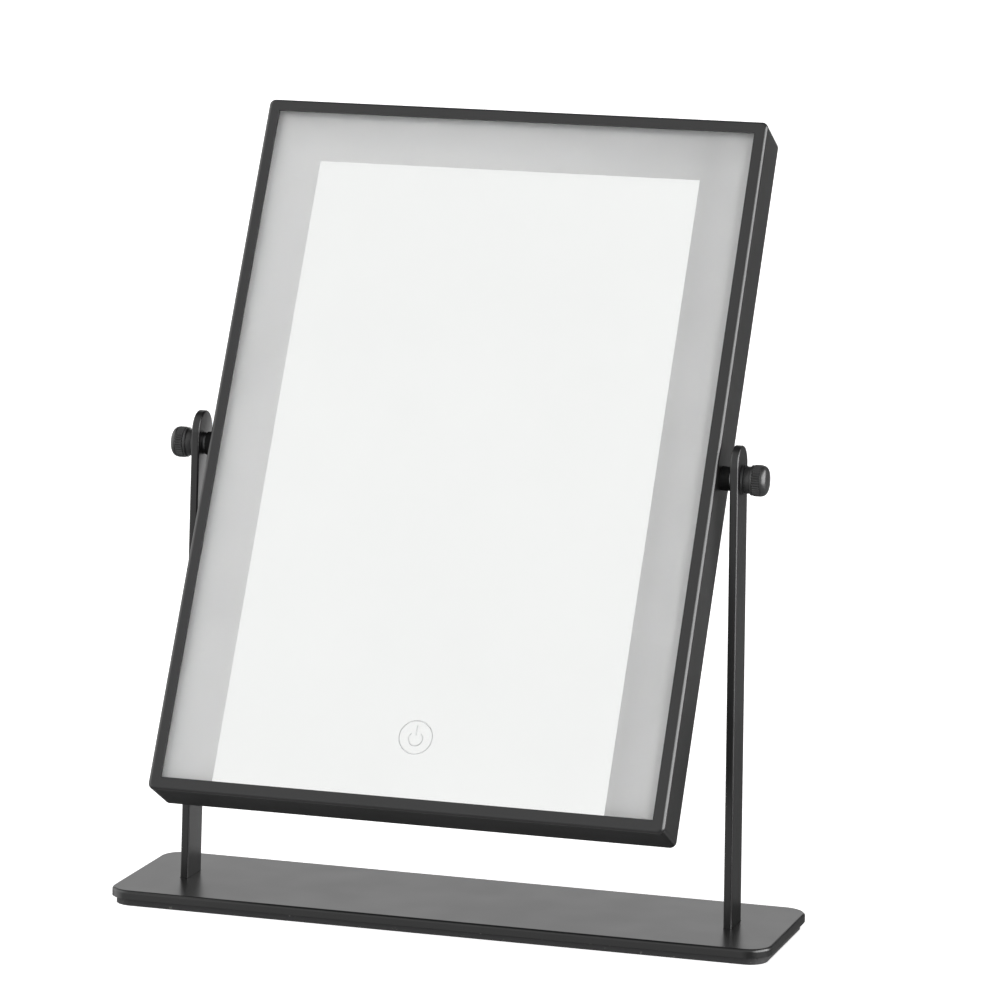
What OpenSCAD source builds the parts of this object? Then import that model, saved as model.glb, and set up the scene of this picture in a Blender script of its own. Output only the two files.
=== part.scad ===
// Countertop mirror with a lit edge band, tilting between two posts on a flat base.
// Millimetres, +Z up, front face towards -Y, origin at the middle of the base underside.

/* [Base] */
// Width of the base plate
base_w = 327; // [260:1:400]
// Depth of the base plate
base_d = 87.5; // [70:1:130]
// Corner radius of the base plate
base_r = 11.5; // [4:0.5:20]
// Thickness of the steel base plate
plate_t = 4.2; // [3:0.1:8]
// Radius of the plate's top edge
plate_edge_r = 1.4; // [0.4:0.1:2]
// Thickness of the rubber pad under the plate
pad_t = 3.6; // [3.5:0.1:6]
// How far the pad sits in from the plate's edge
pad_inset = 2.2; // [0.5:0.1:5]

/* [Posts] */
// Distance between the inner faces of the two posts at the base
post_gap = 268; // [266:1:320]
// Lean of each post towards the head
post_lean = 0.85; // [0:0.05:0.9]
// Thickness of the post bar
post_t = 4; // [3:0.1:5]
// Width of the post bar, front to back
post_d = 19; // [14:1:30]
// Height of the post's round end above the tilt axis
post_above = 16; // [12:0.5:24]
// Radius on the long edges of the bar
post_edge_r = 0.8; // [0.2:0.1:1.2]
// Length of the foot under the plate
foot_len = 32; // [24:1:50]
// Thickness of the foot
foot_t = 3.2; // [2.5:0.1:3.4]
// Gap round the post in the plate's slot
slot_gap = 0.15; // [0.1:0.05:0.5]
// Clearance round the feet in the pad
pad_cut = 1; // [0.5:0.1:2]

/* [Foot screws] */
// Shank diameter of the countersunk foot screws
foot_screw_d = 3.9; // [3:0.1:5]
// Head diameter of the foot screws
foot_head_d = 7.4; // [6:0.1:9]
// Height of the countersunk head
foot_head_h = 2; // [1.5:0.1:2.5]
// Depth the screw enters the plate
foot_screw_in = 2.4; // [1.5:0.1:2.6]
// Distance between the two screws of a foot
foot_screw_pitch = 14; // [10:1:20]
// Distance from the post to the nearer foot screw
foot_screw_first = 9; // [7:1:14]
// Hexagon socket size across corners
foot_socket_d = 2.8; // [2:0.1:3.5]
// Socket depth
foot_socket_h = 1.2; // [0.8:0.1:1.6]
// Extra width of the holes in the foot, and depth under the screw tips
foot_play = 0.3; // [0.2:0.05:0.5]

/* [Mirror head] */
// Width of the mirror head
head_w = 250; // [200:1:260]
// Height of the mirror head
head_h = 350; // [250:1:380]
// Depth of the mirror head
head_d = 26; // [25:1:40]
// Lean of the head in the stored pose, top back
tilt = 27.4; // [0:0.1:40]
// Height of the tilt axis above the table
pivot_z = 220.5; // [200:0.5:260]
// Depth of the tilt axis behind the front face
pivot_n = 12; // [12:0.5:13]

/* [Bezel] */
// Outer corner radius of the bezel
bezel_r = 3; // [2:0.5:8]
// Sheet thickness of the bezel's side walls
bezel_wall = 1.2; // [1:0.1:2]
// Thickness of the front lip, which the glass sits behind
lip_t = 0.9; // [0.8:0.1:2]
// Width of the front lip
lip_w = 6; // [4:0.5:10]
// Bend radius between lip and side walls
bend_r = 1.8; // [0.6:0.1:2]

/* [Glass and light] */
// Thickness of the glass pane
glass_t = 4.9; // [3:0.1:6]
// Thickness of the silvering and its backing paint
silver_t = 0.1; // [0.1:0.05:0.3]
// How far the silvering stops short of the glass's lower edge
silver_in = 1; // [0.5:0.1:3]
// Play between glass and bezel wall, each side
glass_play = 0.4; // [0.2:0.1:1]
// Width of the frosted band at the left, top and right
band_w = 24; // [10:1:40]
// Thickness of the opal diffuser
diffuser_t = 2; // [1:0.5:3]
// How far the diffuser reaches behind the silvering
diffuser_lap = 3; // [1:0.5:8]
// Play between diffuser and chassis wall, each side
diffuser_play = 0.3; // [0.2:0.1:1]
// Width of the LED strip boards
strip_w = 8; // [6:1:12]
// Thickness of the LED strip boards
strip_t = 0.4; // [0.2:0.1:1.6]
// Side of one LED package
led_w = 2.8; // [2:0.1:5]
// Height of one LED package
led_t = 0.7; // [0.5:0.1:1.5]
// Spacing of the LEDs along a strip
led_pitch = 12.5; // [8:0.5:20]
// LEDs on each side strip
led_side_count = 25; // [20:1:25]
// LEDs on the top strip
led_top_count = 15; // [12:1:15]
// How far the corner links overlap the ends of the strips
link_in = 3; // [2:0.5:6]

/* [Touch switch] */
// Height of the switch mark below the middle of the head
touch_down = 138.7; // [100:0.1:150]
// Outer radius of the ring round the mark
touch_r = 8.3; // [6:0.1:10]
// Line width of the mark
touch_line = 0.6; // [0.4:0.1:1]
// Radius of the open ring of the mark
touch_arc_r = 3.7; // [2:0.1:5]
// Distance of the symbol's arc below the middle of the ring
touch_arc_drop = 0.7; // [0:0.1:1]
// Length of the bar of the mark
touch_bar = 4.8; // [2:0.1:5]
// Width of the gap in the open ring
touch_gap = 4.4; // [1:0.1:5]
// Diameter of the sensor disc
sensor_d = 20; // [18:1:30]
// Thickness of the sensor disc
sensor_t = 1.6; // [1:0.1:2.5]

/* [Chassis] */
// Play between chassis and bezel wall, each side
pan_play = 0.3; // [0.2:0.1:1]
// Sheet thickness of the chassis
pan_t = 1; // [0.8:0.1:1.5]
// Depth of the back of the chassis floor
pan_back = 19; // [18:0.5:20]
// Size of the nut plates along the head
nut_v = 24; // [16:1:40]
// Size of the nut plates front to back
nut_n = 8; // [8:0.5:8]
// Thickness of the nut plates
nut_t = 4; // [3:0.5:6]
// Clearance round the inlet's nut in the chassis floor
nut_clear = 1.5; // [1:0.5:3]

/* [Control board] */
// Width of the control board
board_w = 60; // [40:1:90]
// Height of the control board
board_h = 30; // [20:1:50]
// Thickness of the control board
board_t = 1.2; // [0.8:0.1:1.6]
// Height of the board's middle below the middle of the head
board_down = 84; // [60:1:90]
// Length of the board spacers
board_gap = 2.8; // [2:0.1:4]
// Distance of the spacers from the board's edges
board_margin = 3.5; // [3:0.5:6]
// Diameter of the board spacers
board_spacer_d = 5; // [4:0.5:6]
// Shank diameter of the board screws
board_screw_d = 2.2; // [2:0.1:3]
// Head diameter of the board screws
board_head_d = 4.2; // [3.5:0.1:5]
// Head height of the board screws
board_head_h = 1.4; // [1:0.1:2]
// Length of the board screw shanks
board_screw_len = 3.6; // [3:0.1:3.9]
// Extra width of the screw holes in board, chassis and cover
screw_play = 0.4; // [0.2:0.1:0.8]
// Height of the driver chip
chip_h = 1.4; // [0.8:0.1:2]
// Width of the driver chip
chip_w = 9; // [6:1:12]
// Height of the driver chip along the board
chip_v = 7; // [5:1:10]
// Side of the coil
coil_w = 8; // [6:1:10]
// Diameter of a capacitor
cap_d = 5; // [4:0.5:6]
// Distance between the two capacitors
cap_pitch = 7; // [6:0.5:8]
// Height of the coil, capacitors and lead sockets
part_h = 3.2; // [2:0.1:4]
// Width of a lead socket
socket_w = 7; // [5:0.5:9]
// Depth of a lead socket
socket_d = 5; // [4:0.5:7]
// Distance of the outer lead sockets from the middle
socket_x = 18; // [14:1:20]
// How far the lead sockets stand in from the board's lower edge
socket_in = 1.5; // [1:0.5:3]

/* [Power inlet] */
// Height of the inlet below the middle of the head
jack_down = 122; // [110:1:130]
// Barrel diameter of the inlet
jack_d = 8; // [7:0.5:12]
// Flange diameter of the inlet
jack_flange_d = 11; // [10:0.5:14]
// Flange thickness of the inlet
jack_flange_t = 1.4; // [1:0.1:1.8]
// Depth where the inlet's barrel starts
jack_front = 12.5; // [12:0.5:14]
// Bore diameter of the inlet
jack_bore_d = 5.6; // [5:0.1:6.5]
// Bore depth of the inlet
jack_bore_len = 9.5; // [8:0.5:10]
// Diameter of the inlet's centre pin
jack_pin_d = 2.1; // [1.5:0.1:2.5]
// How deep the tip of the centre pin sits
jack_pin_in = 1; // [0.5:0.1:2]
// Extra width of the inlet's hole in the cover
jack_play = 0.2; // [0.1:0.05:0.4]
// Thickness of the inlet's nut
jack_nut_t = 2; // [1.5:0.1:2.5]
// Size of the inlet's nut across corners
jack_nut_d = 12; // [11:0.5:14]
// Length of the solder tags
tag_len = 2.6; // [2:0.1:3]
// Width of the solder tags
tag_w = 1.4; // [1:0.1:2]
// Thickness of the solder tags
tag_t = 0.5; // [0.3:0.1:0.8]
// Distance of the tags from the inlet's axis
tag_off = 2.4; // [1.5:0.1:3]

/* [Back cover] */
// Sheet thickness of the back cover
cover_t = 1; // [0.8:0.1:2]
// Depth of the back cover's inner face
cover_n = 23; // [22:0.5:24]
// Distance of the cover screws from the head's side edges
cover_in = 14; // [10:1:30]
// Diameter of the cover standoffs
standoff_d = 6; // [5:0.5:8]
// Shank diameter of the cover screws
cover_screw_d = 2.9; // [2.5:0.1:4]
// Length of the cover screw shanks
cover_screw_len = 4.6; // [3:0.1:4.8]
// Head diameter of the cover screws
cover_head_d = 5.6; // [5:0.1:7]
// Head height of the cover screws
cover_head_h = 1.6; // [1.2:0.1:1.8]
// Width of the cross recess
cross_w = 0.8; // [0.5:0.1:1.2]
// Length of the cross recess
cross_l = 3; // [2:0.1:4]
// Depth of the cross recess
cross_h = 0.9; // [0.5:0.1:1.2]

/* [Leads] */
// Diameter of the inner leads
lead_d = 1.4; // [1:0.1:2]
// Extra diameter of the round bends in a lead
bend_swell = 0.06; // [0.02:0.02:0.2]

/* [Tilt pivots] */
// Diameter of the threaded stud
stud_d = 5; // [4:0.5:6]
// Radial play of the stud in the parts it turns in
stud_play = 0.06; // [0.03:0.01:0.1]
// Radial play of the stud in sheet, spacers and washers
stud_clear = 0.25; // [0.2:0.05:0.5]
// How far the stud runs past its nut plate
stud_past = 2; // [1:0.5:4]
// Diameter of the black spacer between head and post
spacer_d = 11.4; // [9:0.1:16]
// Diameter of the steel washer against the post
washer_d = 10.4; // [8:0.1:14]
// Thickness of the steel washer
washer_t = 1.2; // [0.8:0.1:2]
// Gap between parts that slide on each other
face_gap = 0.05; // [0.02:0.01:0.1]

/* [Thumb knobs] */
// Diameter of the loose collar against the post
collar_d = 14; // [11:0.1:18]
// Thickness of the loose collar
collar_t = 1.2; // [1:0.1:2.5]
// Diameter of the knob's neck
neck_d = 12.8; // [9:0.1:16]
// Diameter of the plain ring beside the knurl
ring_d = 14.3; // [11:0.1:18]
// Width of the plain ring
ring_w = 1.3; // [1:0.1:2.5]
// Distance from the post to the plain ring
ring_at = 4.3; // [3:0.1:6]
// Diameter over the knurl
knurl_d = 14.8; // [12:0.1:20]
// Distance from the post to the outer end of the knurl
knurl_end = 9.6; // [8:0.1:14]
// Number of knurl grooves
knurl_count = 36; // [24:1:48]
// Depth of the knurl grooves
knurl_h = 0.4; // [0.2:0.05:0.6]
// Overall length of knob and collar from the post
knob_len = 12.4; // [11:0.1:18]
// Corner radius of the knob's rounded end
knob_round = 3.1; // [1:0.1:3.3]
// Depth the stud enters the knob
stud_in = 6; // [4:0.5:7]

/* [Hidden] */
$fn = 72;
eps = 0.02;
base_top = pad_t + plate_t;
post_x = post_gap / 2;
foot_z = pad_t - foot_t;
plate_mid = pad_t + plate_t / 2;
post_in = post_x + post_t / 2 - post_t / 2 / cos(post_lean) - (pivot_z - plate_mid) * tan(post_lean);
glass_n = lip_t;
silver_n = glass_n + glass_t + eps;
glass_w = head_w - 2 * (bezel_wall + glass_play);
glass_h = head_h - 2 * (bezel_wall + glass_play);
open_w = head_w - 2 * lip_w;
open_h = head_h - 2 * lip_w;
band_x = open_w / 2 - band_w;
band_top = open_h / 2 - band_w;
pan_w = head_w - 2 * (bezel_wall + pan_play);
pan_h = head_h - 2 * (bezel_wall + pan_play);
pan_front = silver_n;
floor_n = pan_back - pan_t;
diffuser_n = silver_n + silver_t;
strip_x = open_w / 2 - band_w / 2;
strip_top = open_h / 2 - band_w / 2;
strip_n = floor_n - strip_t;
led_n = strip_n - led_t;
side_len = led_side_count * led_pitch;
top_len = led_top_count * led_pitch;
side_mid = strip_top - strip_w - side_len / 2;
nut_x = pan_w / 2 - pan_t - nut_t;
board_n = floor_n - board_gap - board_t;
socket_y = -board_down - board_h / 2 + socket_in - face_gap;
socket_z = -board_n + part_h / 2;
stud_r = stud_d / 2;
hole_r = stud_r + stud_play;
sheet_hole_r = stud_r + stud_clear;
lean_gap = collar_d / 2 * tan(post_lean) + face_gap;
washer_x = post_in - lean_gap - washer_t;
outer_x = post_in + post_t / cos(post_lean);
collar_x = outer_x + lean_gap;
knob_x = collar_x + collar_t + face_gap;
knob_end = outer_x + knob_len;
cover_w = pan_w;
cover_h = pan_h;
jack_hole_d = jack_nut_d + 2 * nut_clear;
cover_spots = [for (x = [-1, 1], y = [-1, 0, 1])
    [x * (head_w / 2 - cover_in), y * (head_h / 2 - cover_in)]];
board_spots = [for (x = [-1, 1], y = [-1, 1])
    [x * (board_w / 2 - board_margin), y * (board_h / 2 - board_margin) - board_down]];
black = [0.11, 0.11, 0.115];
steel = [0.62, 0.62, 0.64];
zinc = [0.74, 0.75, 0.77];
white = [0.93, 0.93, 0.92];
rubber_col = [0.06, 0.06, 0.065];
glass_col = [0.82, 0.9, 0.88, 0.4];
mirror_col = [0.88, 0.9, 0.91];
phosphor = [0.95, 0.9, 0.6];
board_green = [0.08, 0.3, 0.18];
part_grey = [0.14, 0.14, 0.15];
red = [0.6, 0.08, 0.08];
lead_white = [0.85, 0.85, 0.83];
lead_grey = [0.2, 0.2, 0.22];

// ---- shared shapes ----

// Rectangle with round corners, about the origin.
module round_rect(w, h, r) {
    square([w - 2 * r, h], center = true);
    square([w, h - 2 * r], center = true);
    for (x = [-1, 1], y = [-1, 1]) translate([x * (w / 2 - r), y * (h / 2 - r)]) circle(r = r);
}

// Carries a profile round a rounded rectangle; the profile's x is measured from the corner centres.
module run_round(w, h, r) {
    for (a = [0, 180]) rotate([0, 0, a]) {
        translate([w / 2 - r, 0, 0]) rotate([90, 0, 0])
            linear_extrude(height = h - 2 * r, center = true) children();
        translate([0, h / 2 - r, 0]) rotate([0, 0, 90]) rotate([90, 0, 0])
            linear_extrude(height = w - 2 * r, center = true) children();
        translate([w / 2 - r, h / 2 - r, 0]) rotate_extrude(angle = 90) children();
        translate([r - w / 2, h / 2 - r, 0]) rotate([0, 0, 90]) rotate_extrude(angle = 90) children();
    }
}

// Lays the head's flat drawing (x across, y up, -z into the depth) at its lean on the tilt axis.
module in_head() {
    translate([0, 0, pivot_z]) rotate([-tilt, 0, 0]) translate([0, -pivot_n, 0]) rotate([90, 0, 0])
        children();
}

// A flat shape from depth n, t thick.
module slab(n, t) {
    translate([0, 0, -n - t]) linear_extrude(height = t) children();
}

// Puts z along the tilt axis, outwards on one side.
module on_axis(side) {
    translate([0, 0, pivot_z]) rotate([0, side * 90, 0]) children();
}

// Tube along z with its bore.
module tube(r, bore_r, z, h) {
    translate([0, 0, z]) difference() {
        cylinder(r = r, h = h);
        translate([0, 0, -eps]) cylinder(r = bore_r, h = h + 2 * eps);
    }
}

// Lead through a list of points, round at its bends.
module lead(points) {
    for (i = [0 : len(points) - 2]) {
        run = points[i + 1] - points[i];
        turn = [0, acos(run[2] / norm(run)), atan2(run[1], run[0])];
        translate(points[i]) rotate(turn) cylinder(d = lead_d, h = norm(run), $fn = 24);
        if (i > 0) translate(points[i]) sphere(d = lead_d + bend_swell, $fn = 24);
    }
}

// Cross recess cut, going down from z = 0.
module cross_cut() {
    for (a = [0, 90]) rotate([0, 0, a])
        translate([-cross_l / 2, -cross_w / 2, -cross_h]) cube([cross_l, cross_w, cross_h + eps]);
}

// ---- stand ----

module foot_spots() {
    for (s = [-1, 1], i = [0, 1])
        translate([s * (post_x - foot_screw_first - i * foot_screw_pitch), 0, 0]) children();
}

module base_plate() {
    e = plate_edge_r;
    color(black) difference() {
        union() {
            translate([0, 0, pad_t]) linear_extrude(height = plate_t - e)
                round_rect(base_w, base_d, base_r);
            translate([0, 0, pad_t]) linear_extrude(height = plate_t)
                round_rect(base_w - 2 * e, base_d - 2 * e, base_r - e);
            translate([0, 0, base_top - e]) run_round(base_w, base_d, base_r) intersection() {
                translate([base_r - e, 0]) circle(r = e);
                translate([base_r - e, 0]) square([e, e]);
            }
        }
        for (s = [-1, 1]) translate([s * (post_x + post_t / 2), 0, plate_mid])
            cube([post_t + 2 * slot_gap, post_d + 2 * slot_gap, plate_t + 2 * eps], center = true);
        foot_spots() translate([0, 0, pad_t - eps])
            cylinder(d = foot_screw_d + eps, h = foot_screw_in + foot_play);
    }
}

module base_pad() {
    color(rubber_col) difference() {
        linear_extrude(height = pad_t)
            round_rect(base_w - 2 * pad_inset, base_d - 2 * pad_inset, base_r - pad_inset);
        for (s = [-1, 1]) translate([s * (post_x + post_t - foot_len / 2), 0, pad_t / 2])
            cube([foot_len + 2 * pad_cut, post_d + 2 * pad_cut, pad_t + 2 * eps], center = true);
    }
}

// Bar section with eased long edges; x is across the thickness.
module bar_section() {
    round_rect(post_t, post_d, post_edge_r);
}

// Upright bar with its round top end, drawn from the height where it passes through the plate.
module bar() {
    low = plate_mid - foot_z - foot_t / 2;
    top = (pivot_z - plate_mid) / cos(post_lean) + post_above - post_d / 2;
    translate([0, 0, -low]) linear_extrude(height = top + low) bar_section();
    translate([0, 0, top]) rotate([90, 0, 90]) rotate_extrude(angle = 180) intersection() {
        rotate([0, 0, 90]) bar_section();
        translate([0, -post_t]) square([post_d, 2 * post_t]);
    }
}

module post(side) {
    color(black) translate([side * (post_x + post_t / 2), 0, 0]) difference() {
        union() {
            translate([0, 0, plate_mid]) rotate([0, -side * post_lean, 0]) bar();
            translate([-side * (foot_len - post_t) / 2, 0, foot_z + foot_t / 2])
                cube([foot_len, post_d, foot_t], center = true);
        }
        translate([0, 0, pivot_z]) rotate([0, 90, 0])
            cylinder(r = hole_r, h = 4 * post_t, center = true);
        for (i = [0, 1])
            translate([-side * (foot_screw_first + post_t / 2 + i * foot_screw_pitch), 0, foot_z]) {
                translate([0, 0, -eps]) cylinder(d = foot_screw_d + foot_play, h = foot_t + 2 * eps);
                translate([0, 0, -eps])
                    cylinder(d1 = foot_head_d + foot_play, d2 = foot_screw_d + foot_play,
                        h = foot_head_h + eps);
            }
    }
}
module post_left() { post(-1); }
module post_right() { post(1); }

module foot_screws() {
    color(zinc) foot_spots() translate([0, 0, foot_z]) difference() {
        union() {
            cylinder(d1 = foot_head_d, d2 = foot_screw_d, h = foot_head_h);
            cylinder(d = foot_screw_d, h = foot_t + foot_screw_in);
        }
        translate([0, 0, -eps]) cylinder(d = foot_socket_d, h = foot_socket_h, $fn = 6);
    }
}

// ---- mirror head ----

module bezel_frame() {
    b = bend_r;
    color(black) in_head() difference() {
        union() {
            slab(b, head_d - b) difference() {
                round_rect(head_w, head_h, bezel_r);
                square([head_w - 2 * bezel_wall, head_h - 2 * bezel_wall], center = true);
            }
            slab(0, b) round_rect(head_w - 2 * b, head_h - 2 * b, bezel_r - b);
            translate([0, 0, -b]) run_round(head_w, head_h, bezel_r) intersection() {
                translate([bezel_r - b, 0]) circle(r = b);
                translate([bezel_r - b, 0]) square([b, b]);
            }
        }
        slab(-eps, lip_t + 2 * eps) square([open_w, open_h], center = true);
        slab(lip_t, head_d) square([head_w - 2 * bezel_wall, head_h - 2 * bezel_wall], center = true);
        translate([0, 0, -pivot_n]) rotate([0, 90, 0])
            cylinder(r = sheet_hole_r, h = head_w + 2 * eps, center = true);
    }
}

module mirror_glass() {
    color(glass_col) in_head() slab(glass_n, glass_t) square([glass_w, glass_h], center = true);
}

// Switch mark left clear in the silvering.
module touch_mark() {
    translate([0, -touch_down]) {
        difference() {
            circle(r = touch_r);
            circle(r = touch_r - touch_line);
        }
        translate([0, -touch_arc_drop]) {
            difference() {
                circle(r = touch_arc_r);
                circle(r = touch_arc_r - touch_line);
                translate([-touch_gap / 2, 0]) square([touch_gap, touch_arc_r]);
            }
            translate([-touch_line / 2, touch_arc_r + (touch_line - touch_bar) / 2])
                square([touch_line, touch_bar]);
        }
    }
}

module mirror_silvering() {
    low = -glass_h / 2 + silver_in;
    color(mirror_col) in_head() slab(silver_n, silver_t) difference() {
        translate([-band_x, low]) square([2 * band_x, band_top - low]);
        touch_mark();
    }
}

module light_diffuser() {
    w = pan_w - 2 * (pan_t + diffuser_play);
    h = pan_h - 2 * (pan_t + diffuser_play);
    x_in = band_x - diffuser_lap;
    top_in = band_top - diffuser_lap;
    color(white) in_head() slab(diffuser_n, diffuser_t) difference() {
        square([w, h], center = true);
        translate([-x_in, -h]) square([2 * x_in, h + top_in]);
    }
}

module chassis_pan() {
    color(white) in_head() difference() {
        slab(pan_front, pan_back - pan_front) square([pan_w, pan_h], center = true);
        slab(pan_front - eps, floor_n - pan_front + eps)
            square([pan_w - 2 * pan_t, pan_h - 2 * pan_t], center = true);
        translate([0, 0, -pivot_n]) rotate([0, 90, 0])
            cylinder(r = sheet_hole_r, h = pan_w + 2 * eps, center = true);
        translate([0, -jack_down, -pan_back - eps]) cylinder(d = jack_hole_d, h = pan_t + 2 * eps);
        for (p = board_spots) translate([p[0], p[1], -pan_back - eps])
            cylinder(d = board_screw_d + screw_play, h = pan_t + 2 * eps);
    }
}

module nut_plate(side) {
    color(steel) in_head() difference() {
        translate([side * (nut_x + nut_t / 2), 0, -pivot_n]) cube([nut_t, nut_v, nut_n], center = true);
        translate([side * (nut_x + nut_t / 2), 0, -pivot_n]) rotate([0, 90, 0])
            cylinder(r = hole_r, h = nut_t + 2 * eps, center = true);
    }
}
module nut_plate_left() { nut_plate(-1); }
module nut_plate_right() { nut_plate(1); }

module side_strip(side) {
    color(white) in_head() slab(strip_n, strip_t) translate([side * strip_x, side_mid])
        square([strip_w, side_len], center = true);
}
module led_strip_left() { side_strip(-1); }
module led_strip_right() { side_strip(1); }

module led_strip_top() {
    color(white) in_head() slab(strip_n, strip_t) translate([0, strip_top])
        square([top_len, strip_w], center = true);
}

module led_chips() {
    color(phosphor) in_head() slab(led_n, led_t) {
        for (s = [-1, 1], i = [0 : led_side_count - 1])
            translate([s * strip_x, side_mid + (i + 0.5) * led_pitch - side_len / 2])
                square(led_w, center = true);
        for (i = [0 : led_top_count - 1])
            translate([(i + 0.5) * led_pitch - top_len / 2, strip_top]) square(led_w, center = true);
    }
}

module touch_sensor() {
    color(board_green) in_head() slab(diffuser_n, sensor_t) translate([0, -touch_down])
        circle(d = sensor_d);
}

module control_board() {
    color(board_green) in_head() slab(board_n, board_t) difference() {
        translate([0, -board_down]) square([board_w, board_h], center = true);
        for (p = board_spots) translate(p) circle(d = board_screw_d + screw_play);
    }
}

// Driver chip, coil, two capacitors and three lead sockets on the board's front side.
module board_parts() {
    color(part_grey) in_head() translate([0, -board_down, 0]) {
        slab(board_n - chip_h, chip_h) translate([-board_w / 5, board_h / 15])
            square([chip_w, chip_v], center = true);
        slab(board_n - part_h, part_h) translate([board_w / 15, board_h / 10])
            square(coil_w, center = true);
        slab(board_n - part_h, part_h) for (i = [0, 1])
            translate([board_w / 4.6 + cap_pitch * i, board_h / 7.5]) circle(d = cap_d);
        slab(board_n - part_h, part_h) for (x = [-socket_x, 0, socket_x])
            translate([x, socket_in + socket_d / 2 - board_h / 2])
                square([socket_w, socket_d], center = true);
    }
}

module board_spacers() {
    color(white) in_head() for (p = board_spots) translate([p[0], p[1], -floor_n])
        tube(board_spacer_d / 2, board_screw_d / 2 + eps, 0, board_gap);
}

module board_screws() {
    color(zinc) in_head() for (p = board_spots) translate([p[0], p[1], -board_n]) difference() {
        union() {
            cylinder(d = board_head_d, h = board_head_h);
            translate([0, 0, -board_screw_len]) cylinder(d = board_screw_d, h = board_screw_len);
        }
        translate([0, 0, board_head_h]) cross_cut();
    }
}

module power_inlet() {
    back = cover_n + cover_t;
    color(rubber_col) in_head() translate([0, -jack_down, 0]) {
        difference() {
            union() {
                translate([0, 0, -back]) cylinder(d = jack_d, h = back - jack_front);
                translate([0, 0, -back - jack_flange_t]) cylinder(d = jack_flange_d, h = jack_flange_t);
            }
            translate([0, 0, -back - jack_flange_t - eps])
                cylinder(d = jack_bore_d, h = jack_bore_len + eps);
        }
        translate([0, 0, -back - jack_flange_t + jack_pin_in])
            cylinder(d = jack_pin_d, h = jack_bore_len);
        for (s = [-1, 1]) translate([s * tag_off - tag_w / 2, -tag_t / 2, -jack_front - eps])
            cube([tag_w, tag_t, tag_len + eps]);
    }
}

module inlet_nut() {
    color(zinc) in_head() translate([0, -jack_down, -cover_n]) difference() {
        cylinder(d = jack_nut_d, h = jack_nut_t, $fn = 6);
        translate([0, 0, -eps]) cylinder(d = jack_d + 2 * eps, h = jack_nut_t + 2 * eps);
    }
}

// Two leads from the inlet's tags to the middle socket of the board.
module inlet_lead() {
    tag_z = tag_len - jack_front + eps;
    color(red) in_head() for (s = [-1, 1])
        lead([[s * tag_off, -jack_down, tag_z], [s * tag_off, -jack_down, tag_z + lead_d],
            [s * tag_off, socket_y - 2 * lead_d, socket_z], [s * tag_off, socket_y, socket_z]]);
}

// Lead from the left socket of the board to the lower end of the left strip.
module led_lead() {
    turn_x = -strip_x + strip_w / 2 + 4 * lead_d;
    end_y = side_mid - side_len / 2 + strip_w / 2;
    floor_z = -floor_n + lead_d / 2 + eps;
    low_y = socket_y - 6 * lead_d;
    color(lead_white) in_head() lead([[-socket_x, socket_y, socket_z], [-socket_x, low_y, socket_z],
        [-socket_x, low_y, floor_z], [turn_x, low_y, floor_z], [turn_x, end_y, floor_z],
        [-strip_x + strip_w / 2 + eps, end_y, floor_z]]);
}

// Short links that carry the current round the two top corners.
module strip_links() {
    zf = -strip_n + lead_d / 2 + eps;
    y1 = side_mid + side_len / 2 - link_in;
    color(lead_white) in_head() for (s = [-1, 1])
        lead([[s * strip_x, y1, zf], [s * strip_x, strip_top, zf],
            [s * (top_len / 2 - link_in), strip_top, zf]]);
}

// Lead from the right socket of the board to the touch sensor.
module touch_lead() {
    sensor_z = -diffuser_n - sensor_t - lead_d / 2 - eps;
    edge_x = sensor_d / 2 - 2 * lead_d;
    color(lead_grey) in_head() lead([[socket_x, socket_y, socket_z],
        [socket_x, socket_y - 6 * lead_d, socket_z], [edge_x + 5 * lead_d, -touch_down, sensor_z],
        [edge_x, -touch_down, sensor_z]]);
}

module cover_standoffs() {
    color(zinc) in_head() for (p = cover_spots) translate([p[0], p[1], -cover_n])
        tube(standoff_d / 2, cover_screw_d / 2 + eps, 0, cover_n - pan_back);
}

module back_cover() {
    color(black) in_head() slab(cover_n, cover_t) difference() {
        square([cover_w, cover_h], center = true);
        for (p = cover_spots) translate(p) circle(d = cover_screw_d + screw_play);
        translate([0, -jack_down]) circle(d = jack_d + jack_play);
    }
}

module cover_screws() {
    back = cover_n + cover_t;
    color(black) in_head() for (p = cover_spots) translate([p[0], p[1], -back]) difference() {
        union() {
            translate([0, 0, -cover_head_h]) cylinder(d = cover_head_d, h = cover_head_h);
            cylinder(d = cover_screw_d, h = cover_screw_len);
        }
        translate([0, 0, -cover_head_h]) rotate([180, 0, 0]) cross_cut();
    }
}

// ---- tilt pivots ----

module spacer(side) {
    color(rubber_col) on_axis(side)
        tube(spacer_d / 2, sheet_hole_r, head_w / 2, washer_x - head_w / 2);
}
module spacer_left() { spacer(-1); }
module spacer_right() { spacer(1); }

module pivot_washer(side) {
    color(steel) on_axis(side) tube(washer_d / 2, sheet_hole_r, washer_x, washer_t);
}
module pivot_washer_left() { pivot_washer(-1); }
module pivot_washer_right() { pivot_washer(1); }

module collar(side) {
    color(black) on_axis(side) tube(collar_d / 2, hole_r, collar_x, collar_t);
}
module collar_left() { collar(-1); }
module collar_right() { collar(1); }

// Turned outline of the knob: neck, plain ring, knurled barrel, rounded end.
module knob_outline() {
    ring_z = outer_x + ring_at;
    knurl_z = ring_z + ring_w;
    k = knob_round;
    translate([0, knob_x]) square([neck_d / 2, ring_z - knob_x]);
    translate([0, ring_z]) square([ring_d / 2, ring_w]);
    translate([0, knurl_z]) square([knurl_d / 2, knob_end - k - knurl_z]);
    translate([0, knurl_z]) square([knurl_d / 2 - k, knob_end - knurl_z]);
    translate([knurl_d / 2 - k, knob_end - k]) intersection() {
        circle(r = k);
        square(k);
    }
}

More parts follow.
